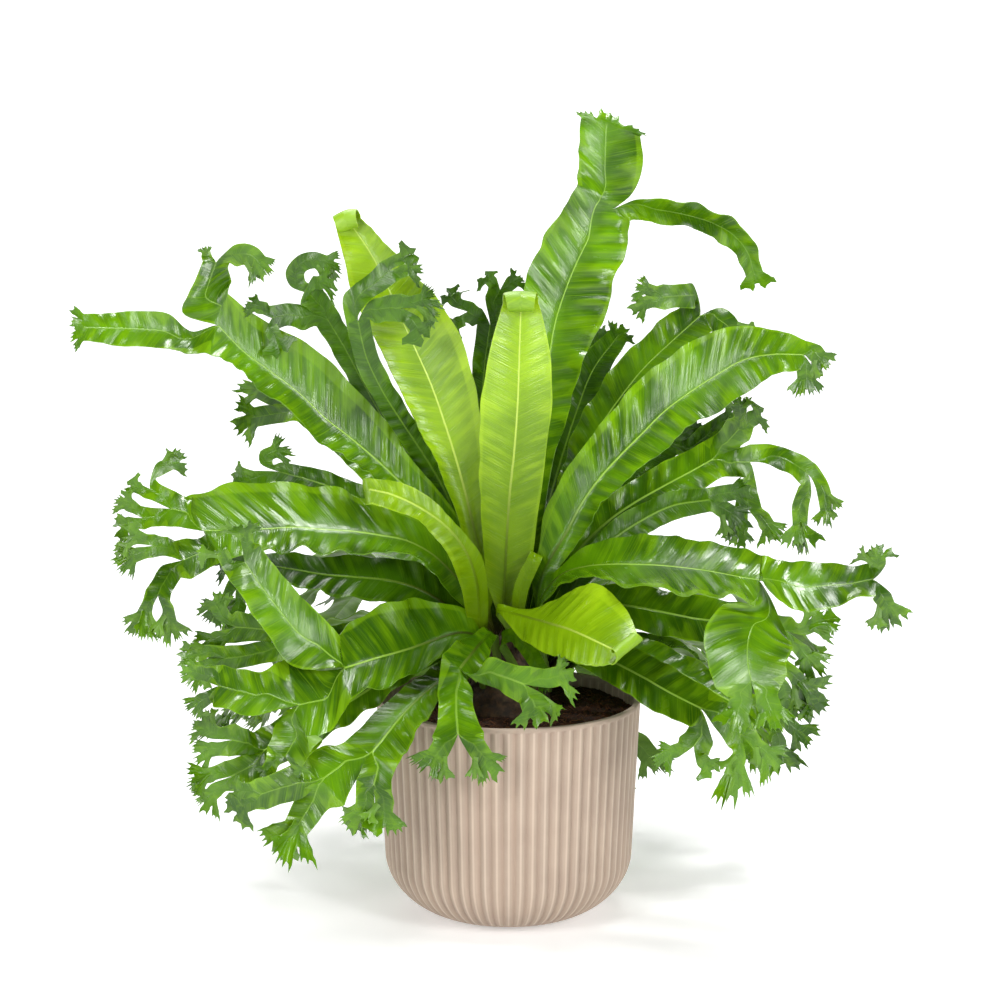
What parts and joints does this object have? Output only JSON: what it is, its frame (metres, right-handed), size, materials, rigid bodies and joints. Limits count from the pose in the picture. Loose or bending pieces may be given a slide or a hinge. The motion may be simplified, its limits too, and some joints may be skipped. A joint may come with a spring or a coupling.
{
  "type": "potted fern",
  "caption": "Crested bird's-nest type fern with forked, wavy strap fronds around a short crown, growing in a round fluted pot filled with soil.",
  "frame": {"origin": "The centre of the pot's flat underside, on the floor.", "axes": "Z is the pot's axis, pointing up. The front, as pictured, faces -Y, so the viewer looks along +Y; X points to the viewer's right."},
  "size_m": [0.5444, 0.4389, 0.5539],
  "materials": {
    "pot": "matte",
    "soil": "matte",
    "crown": "matte",
    "leaf_mature": "satin",
    "leaf_young": "satin",
    "leaf_dark": "satin"
  },
  "bodies": {
    "root": {"pot": "pot", "soil": "soil", "crown": "crown", "frond_top": "leaf_mature", "frond_centre_young": "leaf_young", "frond_left_young": "leaf_young", "fiddlehead": "leaf_young", "frond_left_long": "leaf_mature", "frond_left_forked_dark": "leaf_dark", "frond_over_young": "leaf_dark", "frond_left_inner_crest": "leaf_mature", "frond_right_long": "leaf_mature", "frond_right_back": "leaf_mature", "frond_behind_top": "leaf_dark", "frond_back_crest": "leaf_dark", "frond_back_strap": "leaf_dark", "frond_right_middle": "leaf_mature", "frond_right_middle_low": "leaf_dark", "frond_right_back_crest": "leaf_dark", "frond_left_small_young": "leaf_young", "frond_left_middle": "leaf_mature", "frond_left_middle_under": "leaf_dark", "frond_left_back_dark": "leaf_dark", "frond_left_low": "leaf_mature", "frond_left_side_crest": "leaf_mature", "frond_left_lowest": "leaf_mature", "frond_front_left": "leaf_mature", "frond_front_fork": "leaf_mature", "frond_front_arch": "leaf_mature", "frond_front_young": "leaf_young", "frond_right_low": "leaf_mature", "frond_right_under": "leaf_mature", "frond_right_lowest": "leaf_mature", "frond_right_side": "leaf_mature", "frond_back_mid_right": "leaf_mature", "frond_back_low_right": "leaf_mature", "frond_back_low_far_right": "leaf_dark", "frond_back_mid_far_right": "leaf_mature", "frond_back_low": "leaf_mature", "frond_back_mid": "leaf_mature", "frond_back_low_far_left": "leaf_dark", "frond_back_mid_far_left": "leaf_mature", "frond_back_low_left": "leaf_mature", "frond_back_mid_left": "leaf_mature", "frond_side_low_left": "leaf_dark", "frond_side_low_right": "leaf_dark"}
  },
  "joints": []
}
